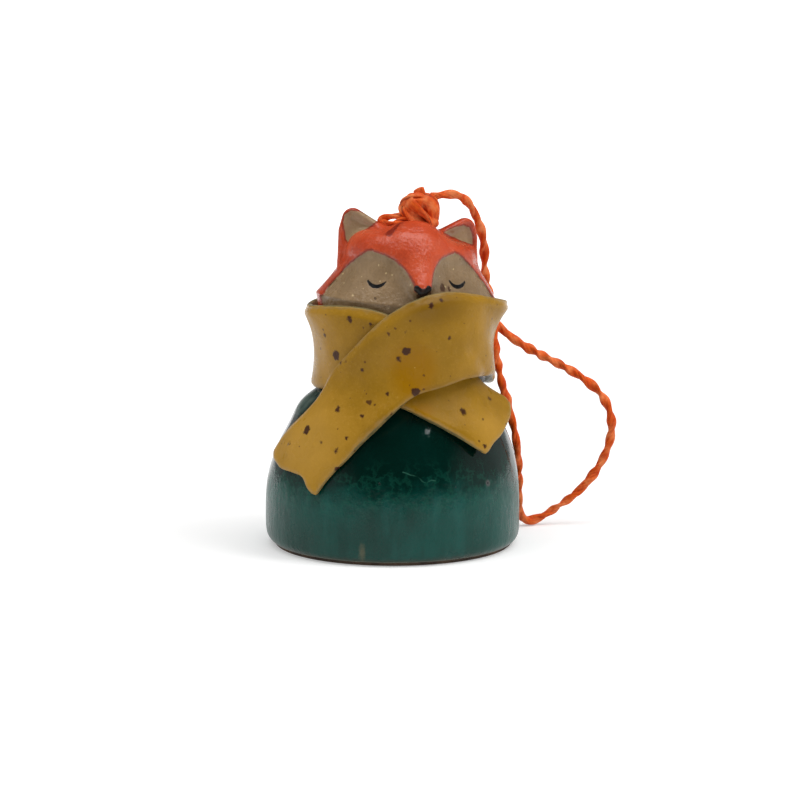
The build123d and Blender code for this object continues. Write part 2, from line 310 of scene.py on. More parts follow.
# Mustard glaze of the scarf with iron specks, pooled deep yellow at the crossing
mustard = Look("mustard_glaze")
cloud = mustard.noise(13, 4, 0.55)
grain = mustard.noise(0.5, 4, 0.7)
mustard.tone = mustard.mix(mustard.ramp(cloud, 0.3, 0.7), (157, 115, 20), (179, 133, 38))
mustard.paint(grain, (202, 160, 74), 0.5, 0.8, 0, 0.4)
mustard.paint(grain, (124, 86, 18), 0.2, 0.46, 0.4, 0)
pool = mustard.ramp(mustard.plus("pool", 0.7, cloud), 0.55, 1.15)
mustard.paint(pool, (165, 115, 0))
# Darker under the chin: painted shadow of the chin, partly thicker glaze
mustard.paint(mustard.plus("shade", 0.7, cloud), (118, 84, 15), 0.45, 1.4, 0, 0.7)
# Pale along the edges: partly glaze thinning at the edges, partly painted highlight
mustard.paint(mustard.frayed("edge", 1.6, 1.4), (168, 140, 92), 0.5, 1.2, 0.5, 0)
# Olive on the side faces of the strips: partly thin glaze, partly painted shade
shaded_lip = mustard.mix(mustard.ramp(mustard.noise(3.5, 3), 0.4, 0.6), (92, 94, 66), (140, 122, 76))
mustard.paint(mustard.frayed("edge", 0.7, 0.5, 2), shaded_lip, -0.2, 0.15, 0.8, 0)
# Lighter towards the tails: painted light
mustard.paint(mustard.plus("sun", 0.5, cloud), (204, 156, 66), 0.3, 1.2, 0, 0.55)
# Tiny bright specks in the pool: painted glints
mustard.paint(mustard.times(mustard.specks(1, 0.2, 0.2, 5), pool), (236, 206, 120), strength=0.7)
mustard.paint(mustard.specks(1.5, 0.3, 0.36), (92, 56, 16), strength=0.85)
mustard.paint(mustard.specks(4.6, 0.4, 0.8, 17), (78, 44, 22), strength=0.85)
blot = mustard.ramp(mustard.frayed("blot", 0.9, 1.5, 3, 0.7), 0.55, 0.95)
mustard.paint(blot, (62, 32, 22), strength=0.95)
gloss = mustard.plus(mustard.ramp(mustard.noise(6, 3), 0.3, 0.75, 0.22, 0.42), -0.08, pool)
relief = mustard.plus(mustard.plus(mustard.noise(3.2, 3), 0.3, grain), -0.35, blot)
mustard.surface(gloss, 0.17, relief, 0.13)

# Coral glaze of the head with a painted shadow of the knot on the crown, then bare buff patches, freckles
# and closed eyes
coral = Look("coral_glaze")
brush = coral.noise(1.7, 4, 0.65, coral.stretch(1.3, 1.3, 0.5))
coral.tone = coral.mix(coral.ramp(coral.noise(9, 4, 0.6), 0.3, 0.72), (188, 64, 31), (209, 85, 50))
# Lighter brush strokes: partly brushed glaze, partly painted sheen
coral.paint(brush, (222, 122, 92), 0.52, 0.8, 0, 0.5)
coral.paint(brush, (160, 50, 26), 0.2, 0.42, 0.45, 0)
# Dark red on the crown beside the knot: painted cast shadow of the knot and tail
coral.paint(coral.frayed("knot_shadow", 1.6, 1.6), (108, 22, 14), 0.75, 1.15, 0, 0.75)
patch = coral.maths("ADD", coral.frayed("patch", 2.6, 0.7), -0.35)
rim = coral.times(coral.ramp(patch, -0.5, -0.1), coral.ramp(patch, 0, 0.25, 1, 0))
coral.paint(rim, (128, 42, 24), strength=0.75)
glaze = coral.tone
coral.tone = coral.mix(coral.ramp(coral.noise(4, 4, 0.6), 0.3, 0.75), (141, 115, 83), (159, 132, 99))
# Paler buff in the ear hollows: painted light
coral.paint("lit", (164, 135, 101))
coral.paint(coral.specks(1.15, 0.3, 0.3), (214, 190, 142), strength=0.75)
coral.paint(coral.specks(2.6, 0.34, 0.42, 11), (74, 56, 40), strength=0.75)
coral.tone = coral.mix(coral.ramp(patch, -0.12, 0.16), glaze, coral.tone)
freckle = coral.frayed("freckle", 0.8, 0.7, 3, 0.7)
coral.paint(freckle, (78, 50, 34), 0.3, 0.6, 0, 0.85)
eye = coral.ramp(coral.frayed("eye", 0.6, 0.16, 2), 0.02, 0.2, 1, 0)
coral.paint(eye, (9, 8, 8))
smooth = coral.ramp(coral.noise(3, 3), 0.3, 0.75, 0.13, 0.3)
matt_patch = coral.plus(smooth, 0.1, coral.ramp(patch, -0.2, 0.2))
relief = coral.frayed(coral.frayed(coral.times(brush, 0.6), 2.4, 0.6), 0.7, 0.42)
coral.surface(matt_patch, 0.44, coral.plus(relief, -0.2, eye), 0.3)

# Dark glaze of the nose
dark = Look("dark_glaze")
dark.tone = dark.mix(dark.ramp(dark.noise(1.2, 3), 0.45, 0.8), (20, 16, 16), (74, 52, 44))
dark.surface(0.38, 0.3, dark.noise(0.8, 3), 0.06)

# Orange paper cord, creased along its length
paper = Look("orange_cord")
fibre = paper.vector("MULTIPLY", paper.add("UVMap").outputs[0], (0.35, 9, 1))[0]
crease = paper.noise(1, 4, 0.6, fibre)
paper.tone = paper.mix(paper.ramp(crease, 0.3, 0.7), (200, 56, 2), (244, 102, 20))
# Lighter patches on the paper: partly its own tone, partly painted highlight
paper.paint(paper.noise(3, 3), (255, 150, 90), 0.4, 0.7, 0, 0.75)
# Dark red in the creases and deep in the knot: painted shade
paper.paint("crease_and_shade", (124, 20, 0), 0.25, 1, 0, 0.68)
paper.surface(0.6, 0.25, crease, 0.16)

# Bare stoneware inside the bell and the head, on the foot and on the clapper's bead
clay = Look("bare_clay")
clay.tone = clay.mix(clay.ramp(clay.noise(5, 4, 0.6), 0.3, 0.72), (66, 54, 46), (112, 90, 72))
clay.paint(clay.specks(1.3, 0.3, 0.3), (60, 42, 32), strength=0.7)
clay.surface(0.85, 0.5, clay.frayed(clay.noise(2, 4), 0.5, 0.5), 0.18)


# Building of meshes
def waves(points, size, seed, count=9):
    """Smooth lumps about size millimetres across, mostly between -1 and 1."""
    dice = np.random.default_rng(seed)
    total = np.zeros(points.shape[:-1])
    for _ in range(count):
        way = dice.normal(size=3)
        way *= full_turn / (np.linalg.norm(way) * size * dice.uniform(1.2, 2.4))
        total += np.sin(points @ way + dice.uniform(0, full_turn))
    return total / math.sqrt(count)


def line_waves(run, size, seed):
    """Waves of a value along a line."""
    return waves(np.stack([run, 0 * run, 0 * run], -1), size, seed)


def blob(points, centre, size):
    """A soft spot, 1 at its centre and fading over its size."""
    return np.exp(-(((points - centre) / size) ** 2).sum(-1))


def grid_faces(rows, columns, close_rows=False, close_columns=False):
    """Four-sided faces between the points of a grid."""
    faces = []
    for r in range(rows if close_rows else rows - 1):
        here, after = r * columns, (r + 1) % rows * columns
        for c in range(columns if close_columns else columns - 1):
            beside = (c + 1) % columns
            faces.append((here + c, here + beside, after + beside, after + c))
    return faces


def make_piece(name, node, points, faces, look, body="bell", fields=None, uv=None, second=None):
    """A smooth mesh piece that rides on a body and replaces a CAD node."""
    mesh = bpy.data.meshes.new(name)
    mesh.from_pydata((np.asarray(points) * MM).tolist(), [], [tuple(map(int, f)) for f in faces])
    mesh.materials.append(look.material)
    mesh.polygons.foreach_set("use_smooth", [True] * len(mesh.polygons))
    for key, values in (fields or {}).items():
        layer = mesh.attributes.new(key, "FLOAT", "POINT")
        layer.data.foreach_set("value", np.asarray(values, np.float32))
    if uv is not None:
        corners = np.zeros(len(mesh.loops), np.int32)
        mesh.loops.foreach_get("vertex_index", corners)
        layer = mesh.uv_layers.new(name="along")
        layer.data.foreach_set("uv", uv[corners].astype(np.float32).ravel())
    if second is not None:
        other, share = second
        mesh.materials.append(other.material)
        mesh.polygons.foreach_set("material_index", np.asarray(share, np.int32))
    mesh.update()
    piece = bpy.data.objects.new(name, mesh)
    bpy.context.collection.objects.link(piece)
    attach(piece, body)
    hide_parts(node)
    return piece


def level_mesh(field, low, high, step):
    """Points and faces of the surface where a field of distances is zero."""
    axes = [np.arange(a, b + step, step) for a, b in zip(low, high)]
    grid = np.stack(np.meshgrid(*axes, indexing="ij"), axis=-1)
    value = field(grid.reshape(-1, 3)).reshape(grid.shape[:3])
    shape = np.array(value.shape)
    total = np.zeros((*shape - 1, 3))
    count = np.zeros(shape - 1)
    edges = []
    for axis in range(3):
        first, last = (value.take(range(k, shape[axis] - 1 + k), axis) for k in (0, 1))
        crossed = (first < 0) != (last < 0)
        spot = grid.take(range(shape[axis] - 1), axis)
        spot[..., axis] += step * np.where(crossed, first / np.where(crossed, first - last, 1), 0)
        b, c = (axis + 1) % 3, (axis + 2) % 3
        for i, j in ((0, 0), (0, 1), (1, 0), (1, 1)):
            cut = [slice(None)] * 3
            cut[b] = slice(i, shape[b] - 1 + i)
            cut[c] = slice(j, shape[c] - 1 + j)
            use = crossed[tuple(cut)]
            total += spot[tuple(cut)] * use[..., None]
            count += use
        edges.append((b, c, crossed, first < 0))
    used = count > 0
    number = np.cumsum(used).reshape(used.shape) - 1
    points = total[used] / count[used][:, None]
    faces = []
    for b, c, crossed, rising in edges:
        at = np.argwhere(crossed)
        for k in (b, c):
            at = at[(at[:, k] > 0) & (at[:, k] < shape[k] - 1)]
        back_b, back_c = np.eye(3, dtype=int)[[b, c]]
        ring = [number[tuple((at - back).T)] for back in (0 * back_b, back_b, back_b + back_c, back_c)]
        quads = np.stack(ring, axis=1)
        faces.append(np.where(rising[tuple(at.T)][:, None], quads, quads[:, ::-1]))
    probe = 0.03
    for _ in range(2):
        slope = [field(points + n) - field(points - n) for n in np.eye(3) * probe]
        slope = np.stack(slope, -1) / (2 * probe)
        push = (field(points) / np.clip((slope ** 2).sum(-1), 0.25, None))[:, None] * slope
        points = points - np.clip(push, -0.4 * step, 0.4 * step)
    return points, np.concatenate(faces)


def strand(path, width, depth, pitch, seed, first_side=(0, 0, 1), around=24):
    """A strip of paper rolled and twisted along a path: points, faces, uv and its creases, which also carry
    painted shade.
    """
    path = np.asarray(path, float)
    rows = len(path)
    run = distances(path)
    way = unit(np.gradient(path, axis=0))
    side = np.array(first_side, float)
    if abs(side @ way[0]) > 0.9:
        side = np.array([1.0, 0.3, 0.2])
    sides = []
    for t in way:
        side = square_to(side, t)
        sides.append(side)
    sides = np.array(sides)
    others = np.cross(way, sides)
    turned = full_turn * run / pitch + 0.9 * line_waves(run, 9, seed + 1)
    wide = width / 2 * (1 + 0.13 * line_waves(run, 4, seed + 2))
    thick = depth / 2 * (1 + 0.15 * line_waves(run, 5, seed + 3))
    from_end = np.clip(np.minimum(run, run[-1] - run) / 0.35, 0, 1)
    taper = np.sqrt(np.clip(1 - (1 - from_end) ** 2, 0.02, 1))
    angle = np.arange(around) / around * full_turn
    groove = np.random.default_rng(seed).uniform(0, full_turn)
    crease_and_shade = np.zeros(around)
    for place, spread, share in ((groove, 0.36, 1.0), (groove + 2.6, 0.3, 0.7)):
        gap = (angle - place + math.pi) % full_turn - math.pi
        crease_and_shade += share * np.exp(-(gap / spread) ** 2)
    fold_depth = np.clip(0.13 * (1 + 0.8 * line_waves(run, 6, seed + 4)), 0, 0.5)
    scale = (1 - fold_depth[:, None] * crease_and_shade) * taper[:, None]
    a = np.cos(angle) * wide[:, None] * scale
    b = np.sin(angle) * thick[:, None] * scale
    c, s = np.cos(turned)[:, None], np.sin(turned)[:, None]
    points = path[:, None] + (a * c - b * s)[..., None] * sides[:, None]
    points += (a * s + b * c)[..., None] * others[:, None]
    faces = grid_faces(rows, around, close_columns=True)
    faces.append(tuple(range(around))[::-1])
    faces.append(tuple(range((rows - 1) * around, rows * around)))
    uv = np.stack(np.broadcast_arrays(run[:, None], angle / full_turn), -1).reshape(-1, 2)
    return points.reshape(-1, 3), faces, uv, np.tile(crease_and_shade, rows)


def bundle(strands):
    """Several strands as one mesh."""
    points, faces, uv, creases_and_shade = zip(*strands)
    starts = np.cumsum([0] + [len(p) for p in points])
    joined = [tuple(i + start for i in face) for part, start in zip(faces, starts) for face in part]
    return np.concatenate(points), joined, np.concatenate(uv), np.concatenate(creases_and_shade)


def cord_piece(name, node, made, body="bell", crease_shade_share=1.0):
    points, faces, uv, creases_and_shade = made
    return make_piece(name, node, points, faces, paper, body, {"crease_and_shade": crease_shade_share * creases_and_shade}, uv)


# Forms of the body and the head
def dome_radius(z):
    share = np.clip((belly_height - z) / (belly_height - hem_height), 0, 1.2)
    below = belly_radius - hem_inset * share ** 8
    above = belly_radius * np.sqrt(np.clip(1 - (np.clip(z - belly_height, 0, None) / dome_rise) ** 2, 0, 1))
    return np.where(z < belly_height, below, above)


def dome_shift(z):
    return body_lean * np.clip((z - belly_height) / (neck_height - belly_height), 0, None) ** 2


def swell(up, cheek, brow, crown):
    """Reach of the head at a height, from its reach at the cheeks, brow and crown."""
    low = neck_radius + (cheek - neck_radius) * np.clip(up / cheek_height, 0, None) ** 1.6
    share = np.clip((brow_height - up) / (brow_height - cheek_height), 0, None)
    middle = brow + (cheek - brow) * share ** 1.2
    climb = np.clip((up - brow_height) / (head_height - brow_height), 0, 1)
    top = crown + (brow - crown) * np.sqrt(1 - climb ** 2)
    return np.where(up <= cheek_height, low, np.where(up <= brow_height, middle, top))


def head_reach(up, sine, cosine, cheek):
    """Reach of the head's oval in a direction, whose cosine is above 0 at the front."""
    depth = np.where(cosine > 0, swell(up, *head_front), swell(up, *head_back))
    return 1 / np.hypot(sine / swell(up, cheek, *head_side), cosine / depth)


def to_head(points):
    """Coordinates in the head, whose lean grows from the neck to the cheeks."""
    x, y, z = (points - (body_lean, 0, neck_height)).T
    lean = head_tilt * np.clip(z / cheek_height, 0, 1)
    return np.stack([x * np.cos(lean) - z * np.sin(lean), y, x * np.sin(lean) + z * np.cos(lean)], -1)


def from_head(x, y, up):
    """The place of a point of the head above its cheeks."""
    c, s = math.cos(head_tilt), math.sin(head_tilt)
    return np.array((body_lean + x * c + up * s, y, neck_height - x * s + up * c))


def soft_min(a, b, blend):
    share = np.clip(0.5 + 0.5 * (b - a) / blend, 0, 1)
    return b + (a - b) * share - blend * share * (1 - share)


def soft_max(a, b, blend):
    return -soft_min(-a, -b, blend)


def round_cone(points, start, end, start_radius, end_radius):
    """Distance to two balls and the cone that wraps them."""
    start, end = np.array(start), np.array(end)
    axis = end - start
    span = axis @ axis
    fall = start_radius - end_radius
    rest = span - fall * fall
    off = points - start
    y = off @ axis
    z = y - span
    x2 = ((off * span - axis * y[..., None]) ** 2).sum(-1)
    y2, z2 = y * y * span, z * z * span
    k = np.sign(fall) * fall * fall * x2
    body = (np.sqrt(x2 * rest / span) + y * fall) / span - start_radius
    near_end = np.sqrt(x2 + z2) / span - end_radius
    near_start = np.sqrt(x2 + y2) / span - start_radius
    body = np.where(np.sign(y) * rest * y2 < k, near_start, body)
    return np.where(np.sign(z) * rest * z2 > k, near_end, body)


def skull(local):
    """Distance from the head's outside without ears, in head coordinates."""
    x, y, up = local.T
    x = x - 0.7 * np.exp(-((up - 22.5) / 5) ** 2)
    radius = np.hypot(x, y) + 1e-9
    probe = 0.3
    here, above, below = (
        head_reach(level, x / radius, -y / radius, puffed_cheek_side)
        for level in (up, np.clip(up + probe, 0, head_height), np.clip(up - probe, 0, head_height))
    )
    around = (radius - here) / np.sqrt(1 + ((above - below) / (2 * probe)) ** 2)
    lid = up - (head_height - 0.8 - 0.09 * x - 0.004 * radius ** 2)
    muzzle = round_cone(local, (0, -5.5, 28.5), (0, -16.6, nose_height + 0.1), 7.6, 2.1)
    return soft_min(soft_max(around, lid, 1.6), muzzle, 2.7)


def pale_patch(local):
    """How far inside the pale patches of the face a place is, in millimetres."""
    x, y, up = local.T
    x = x + 0.15 * np.clip(up - nose_height - 0.5, 0, 7)
    t = np.abs(x) - patch_middle
    reach, top = np.where(x < 0, 7.2, 6.6), np.where(x < 0, 29.0, 29.7)
    inner = 6.6 * (1 - np.hypot(t / reach, np.clip(up - patch_level, 0, None) / (top - patch_level)))
    outer = (top + 0.2 - 1.38 * (np.sqrt(t * t + 9) - 3) - up) / 1.5
    below_nose = np.minimum(nose_height - 0.7 - up, 6 - np.abs(x))
    behind = (-2.0 - 0.12 * (20.5 - up) - y) * 0.8
    return np.minimum(np.maximum(np.where(t < 0, inner, outer), below_nose), behind)


def head_outside(points):
    local = to_head(points)
    sunk = np.clip(pale_patch(local) / 0.5 + 0.5, 0, 1)
    relief = glaze_relief * sunk * sunk * (3 - 2 * sunk)
    return skull(local) + relief + 0.10 * waves(points, 9, 3) + 0.03 * waves(points, 3, 4)


def head_hollow(points):
    """The room inside the head and the hole in its crown."""
    x, y, up = to_head(points).T
    ceiling = head_height - head_wall
    wall = swell(np.clip(up, 0, ceiling), *head_front) - head_wall
    room = np.maximum(np.hypot(x, y) - wall, up - ceiling)
    hole = np.hypot(x - crown_hole_offset, y) - crown_hole_radius
    return np.minimum(room, np.maximum(hole, ceiling - 2 - up))


def head_field(points):
    """The hollow head, open to the neck and pierced at the crown."""
    return np.maximum(np.maximum(head_outside(points), -head_hollow(points)), neck_height - points[..., 2])


# Ears, drawn in their own plane: place across and height in the head, for the right (-1) and the left (1)
ear_lines = {
    -1: [(6.6, 31.6), (13.1, 35.1), (13.6, 32.4), (13.3, 26), (5.6, 26)],
    1: [(4.9, 31), (12, 34.5), (12.6, 32.4), (12.6, 26), (5, 26)],
}
ear_hollows = {
    -1: [
        (14.6, 32.6), (15, 34.3), (14.8, 35.9), (13.4, 36.9), (11.4, 36.7), (9.5, 36),
        (7.6, 35), (9.8, 33.2), (11.9, 31.5), (13.4, 29.9), (14.1, 30.6),
    ],
    1: [
        (5.9, 33.6), (7.4, 34.3), (9, 34.9), (11.1, 35.2), (12.8, 34.9),
        (13.5, 33), (13.6, 31.2), (12.2, 31.4), (10.2, 32.1), (8, 32.9),
    ],
}
ear_rounding = 2.35
ear_hinge = 10.35
ear_toe_out = math.radians(20)


def polygon_distance(u, v, corners):
    """Distance from an outline, below 0 inside it."""
    best = np.full(u.shape, 1e9)
    inside = np.zeros(u.shape, bool)
    for (au, av), (bu, bv) in zip(corners, corners[1:] + corners[:1]):
        du, dv = bu - au, bv - av
        t = np.clip(((u - au) * du + (v - av) * dv) / (du * du + dv * dv), 0, 1)
        best = np.minimum(best, np.hypot(u - au - t * du, v - av - t * dv))
        crosses = (av > v) != (bv > v)
        inside ^= crosses & (u < au + (v - av) * du / (dv if dv else 1e-9))
    return np.where(inside, -best, best)


def ear_plane(local, side):
    """Place across the ear, and depth from its middle plane."""
    across = side * local[..., 0] - ear_hinge
    c, s = math.cos(ear_toe_out), math.sin(ear_toe_out)
    return ear_hinge + across * c + local[..., 1] * s, -across * s + local[..., 1] * c


def ear_slab(local, side):
    """Distance from a slab that thins to its tip, with a dish pressed in its front."""
    across, thick_glaze_and_shade = ear_plane(local, side)
    outline = polygon_distance(across, local[..., 2], ear_lines[side]) - ear_rounding
    half = 0.5 * np.interp(local[..., 2], [28, 33, 37.5], [3.6, 3.0, 2.0])
    dish = 0.95 * np.clip((-outline - 0.75) / 1.5, 0, 1) ** 0.8
    plate = soft_max(-thick_glaze_and_shade - half + dish, thick_glaze_and_shade - half, 0.5)
    return soft_max(outline, plate, 0.9)


def ear_field(side):
    """The ear with the fillet that joins it to the head, and without the head."""
    def field(points):
        bare = head_outside(points)
        slab = ear_slab(to_head(points), side) + 0.05 * waves(points, 5, 8 + side)
        joined = soft_min(bare, slab, 1.3)
        fresh = 0.012 - (bare - joined)
        return np.maximum(np.maximum(joined, -bare - 0.5), 12 * fresh)
    return field


# Hanging loop: one stiff paper cord, standing beside the bell and touching the floor at one fold
knot_centre = from_head(crown_hole_offset, 0, head_height + knot_radius - knot_bite)
leaving = [(2.4, -0.1, 2.9), (6.6, 0.1, 4), (10.9, 1.4, 2.4), (14.1, 4.3, -2.8), (16.2, 7.5, -8.8)]
beside_bell = [
    (-5.7, 10.3, 58.6), (-4, 12, 52.6), (-3.1, 12.3, 46.6), (-2.8, 11.2, 40.8), (-2, 8.8, 34),
    (-0.3, 6.2, 27), (1.2, 5.6, 20), (1.9, 6.9, 12.6), (2.3, 8.6, 7), (2.9, 10.2, 3.1), (4.4, 11, 0.9),
    (7.9, 11.5, 1.5), (12, 11.4, 4), (16.6, 11, 7.2), (20.6, 10.7, 11.8), (23.5, 10.7, 17),
    (24.6, 10.6, 22.8), (23.1, 10.8, 28.3), (19.1, 11.4, 32.7), (13.1, 12.6, 36.4), (7, 13.6, 39.4),
    (1.6, 14.6, 42.7), (-2.4, 16.4, 46.6), (-7.2, 18.6, 51.4),
]
returning = [(10.6, 18.4, -15.2), (6, 15.4, -8.2), (3.2, 9.2, -1.8), (1.6, 3, 1.4)]
route = [knot_centre + step for step in leaving]
route += [np.array((belly_radius + x, y, z)) for x, y, z in beside_bell]
route += [knot_centre + step for step in returning]


def cord_line(route, count):
    """Points on the quadratic B-spline that a route guides from its first place to its last."""
    last = len(route) - 2
    knots = np.r_[0, 0, np.arange(last + 1), last, last]
    at = np.linspace(0, last, count)
    i = np.minimum(at.astype(int), last - 1)

    def blend(a, b, low, high):
        share = ((at - knots[i + low]) / (knots[i + high] - knots[i + low]))[:, None]
        return a + (b - a) * share

    return blend(blend(route[i], route[i + 1], 1, 3), blend(route[i + 1], route[i + 2], 2, 4), 2, 3)


line = np.float32(cord_line(np.array(route), 14 * (len(route) - 1)) * MM)
line = evenly(line.astype(float), 640)
made = strand(line / MM, cord_width, cord_depth, cord_twist, 5, around=28)
lowest = 0.12
made[0][:, 2] = np.maximum(made[0][:, 2], lowest)
loop = cord_piece("hanging_loop_cord", "hanging_loop", made, crease_shade_share=0.55)

# Body: its profile goes down the outside, under the foot and up the inside, with 1 where the clay is bare
dome = np.linspace(neck_height, belly_height, 56)
skirt = np.linspace(belly_height, hem_height + 0.1, 40)[1:]
inside = np.linspace(foot_height, neck_height, 46)
hem = float(dome_radius(hem_height))
foot = hem - foot_inset
inner = hem - body_wall
profile = [(float(dome_radius(z)), z, 0) for z in (*dome, *skirt)]
profile += [(hem - 0.1, 0.76, 0), (hem - 0.3, 0.7, 0), (foot + 0.05, 0.66, 1), (foot, 0.5, 1)]
profile += [(foot - 0.05, 0.12, 1), (foot - 0.2, 0.0, 1), (inner + 0.5, 0.0, 1), (inner + 0.1, 0.15, 1)]
profile += [(inner, 0.6, 1)]
profile += [(float(dome_radius(z)) - body_wall, z, 1) for z in inside]
spokes = 288
angle = np.arange(spokes) / spokes * full_turn
radius, level, bare = (np.repeat(column[:, None], spokes, axis=1) for column in np.array(profile).T)
points = np.stack([radius * np.sin(angle) + dome_shift(level), -radius * np.cos(angle), level], -1)
lump = 0.16 * waves(points, 22, 21) + 0.06 * waves(points, 7, 22)
lump *= np.clip((level - 0.4) / 1.5, 0, 1) * np.clip((neck_height - level) / 2, 0, 1) * (1 - 0.5 * bare)
# Spot on the left shoulder: a real bulge in the shape and a patch of painted sheen in the colour
shoulder_bulge_and_sheen = (1 - bare) * np.exp(-((level - 31.8) / 3.6) ** 2 - ((angle - math.radians(262)) / 0.5) ** 2)
lump += shoulder_bulge * shoulder_bulge_and_sheen
points[..., 0] += lump * np.sin(angle)
points[..., 1] -= lump * np.cos(angle)
off_streak = (angle + 0.414 + math.pi) % full_turn - math.pi
streak = np.exp(-off_streak ** 2 / 0.0011) * np.clip(1 - np.abs(level - 2.8) / 4.4, 0, 1)
faces = grid_faces(len(profile), spokes, close_rows=True, close_columns=True)
make_piece(
    "bell_body_shell", "bell_body", points.reshape(-1, 3), [face[::-1] for face in faces], green,
    fields={"streak": streak.ravel(), "shoulder_bulge_and_sheen": shoulder_bulge_and_sheen.ravel()}, second=(clay, bare.ravel()),
)

# Head and ears, with the eyes and freckles drawn by their distance round the face and their height
face_radius = 15.5
eyes = [
    [(-12.2, 22.9), (-10.0, 21.9), (-7.9, 23.0)],
    [(7.6, 24.1), (9.4, 22.9), (12.0, 23.9)],
]
freckles = [
    (5.4, 22.7, 0.8), (7.1, 22.4, 0.5), (-0.5, 20.8, 0.55), (0.5, 20.6, 0.55), (2.1, 21.3, 0.45),
    (-19.3, 20.2, 0.25), (-11.8, 28.2, 0.2), (12.1, 28.6, 0.25), (-7.2, 25.6, 0.2), (-8.5, 18.0, 0.25),
    (-16.0, 21.1, 0.2),
]
far = 9.0


def face_fields(points):
    """Paint on the head: pale patches, eyes, freckles and a painted shadow of the knot, as distances in
    millimetres.
    """
    local = to_head(points)
    x, y, up = local.T
    sweep = face_radius * np.arctan2(x, -y)
    eye = np.full(len(points), far)
    for corners in eyes:
        for t in np.linspace(0, 1, 24):
            s, h = through(*np.array(corners), t)
            pen = 0.4 - 0.2 * (2 * t - 1) ** 2
            eye = np.minimum(eye, np.hypot(sweep - s, up - h) - pen)
    freckle = np.full(len(points), -far)
    for s, h, r in freckles:
        freckle = np.maximum(freckle, r - np.hypot(sweep - s, (up - h) * 0.8))
    # Painted shadow of the knot and its tail on the crown
    knot_shadow = np.full(len(points), -far)
    for spot in np.linspace((-3.4, -5.5, 34.4), (-6.3, -8.4, 32.7), 5):
        knot_shadow = np.maximum(knot_shadow, 1.2 - np.linalg.norm(local - spot, axis=1))
    return {
        "patch": pale_patch(local), "eye": np.where(y < 0, eye, far),
        "freckle": np.where(y < 0, freckle, -far), "knot_shadow": knot_shadow,
    }


points, faces = level_mesh(head_field, (-18.5, -20.5, neck_height - 0.8), (24.5, 18.6, 71.5), 0.4)
within = head_hollow(points) < -head_outside(points)
inner_clay = (clay, within[faces].mean(1) > 0.5)
make_piece("head_shell", "head", points, faces, coral, fields=face_fields(points), second=inner_clay)

for side, name in ((1, "ear_left"), (-1, "ear_right")):
    middle = from_head(side * 10.3, 0, 32.5)
    points, faces = level_mesh(ear_field(side), middle - (8.5, 7.5, 8.5), middle + (8.5, 7.5, 7.0), 0.24)
    local = to_head(points)
    across, thick_glaze_and_shade = ear_plane(local, side)
    hollow = -polygon_distance(across, local[:, 2], ear_hollows[side])
    none = np.full(len(points), far)
    fields = {"patch": np.where(thick_glaze_and_shade < 0.4, hollow, -2.0), "eye": none, "freckle": -none, "knot_shadow": -none}
    # The ears get the painted light of the paler buff
    fields["lit"] = np.ones(len(points))
    make_piece(name + "_clay", name, points, faces, coral, fields=fields)


# Nose: a pressed lump with two lobes above and a point below
def nose_field(points):
    local = (to_head(points) - (0, -muzzle_reach + 0.45, nose_height)) * (1, 1.3, 1)
    lobes = [round_cone(local, (0, 0, -0.6), (side * 1.15, 0.25, 0.2), 0.82, 0.78) for side in (-1, 1)]
    return soft_min(*lobes, 0.5) + 0.04 * waves(points, 2.4, 61)


middle = from_head(0, -muzzle_reach + 0.3, nose_height)
points, faces = level_mesh(nose_field, middle - 3.2, middle + 3.2, 0.14)
make_piece("nose_lump", "nose", points, faces, dark)


# Scarf strips
def core_axis(z):
    """Where the middle of the body or the head is at a height."""
    up = z - neck_height
    leaned = body_lean + up * np.sin(head_tilt * np.clip(up / cheek_height, 0, 1))
    return np.where(up < 0, dome_shift(z), leaned)


def drape(degrees, up, lift):
    """Places at a bearing, a height above the neck and a lift off the body or the head."""
    sine, cosine = np.sin(np.radians(degrees)), np.cos(np.radians(degrees))
    z = neck_height + up
    head = head_reach(np.clip(up, 0, cheek_height), sine, cosine, cheek_side)
    reach = np.where(up < 0, dome_radius(z), head) + lift
    return np.stack([core_axis(z) + reach * sine, -reach * cosine, z], -1)


